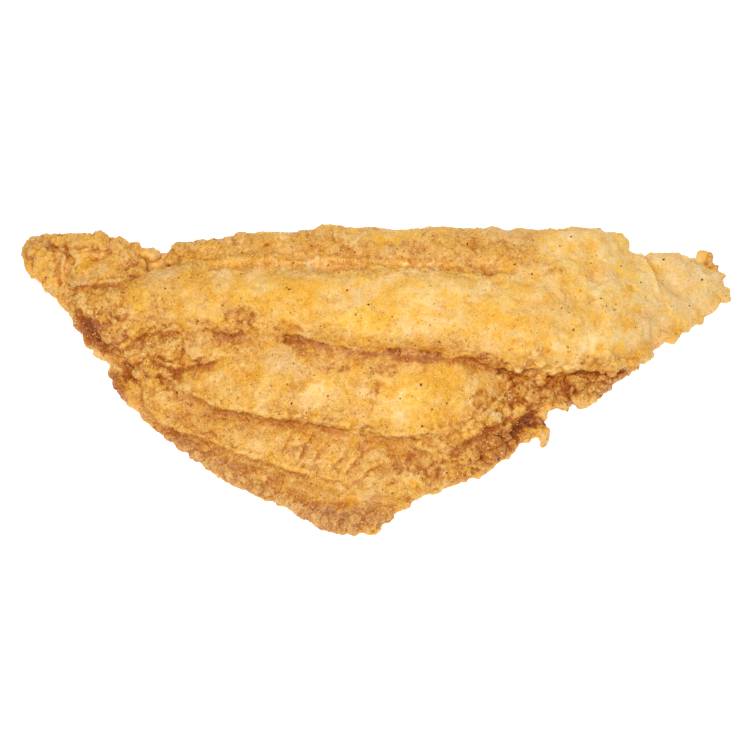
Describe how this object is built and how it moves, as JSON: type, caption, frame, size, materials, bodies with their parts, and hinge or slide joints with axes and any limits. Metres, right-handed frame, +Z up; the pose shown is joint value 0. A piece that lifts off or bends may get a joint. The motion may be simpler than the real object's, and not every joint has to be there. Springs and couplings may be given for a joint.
{
  "type": "fried catfish shank fillet",
  "caption": "Fried, breaded catfish shank fillet, a long wedge with overlapping folds of flesh and craggy breading, lying flat.",
  "frame": {"origin": "middle of the footprint, on the flat underside", "axes": "+X from the blunt crusty end to the tail end, +Y across the fillet to its thick back edge, +Z up"},
  "size_m": [0.216, 0.0946, 0.0278],
  "materials": {
    "breading": "golden fried cornmeal breading, dry and grainy, with a faint shine of oil"
  },
  "bodies": {
    "root": {"catfish_shank": "breading"}
  },
  "joints": []
}
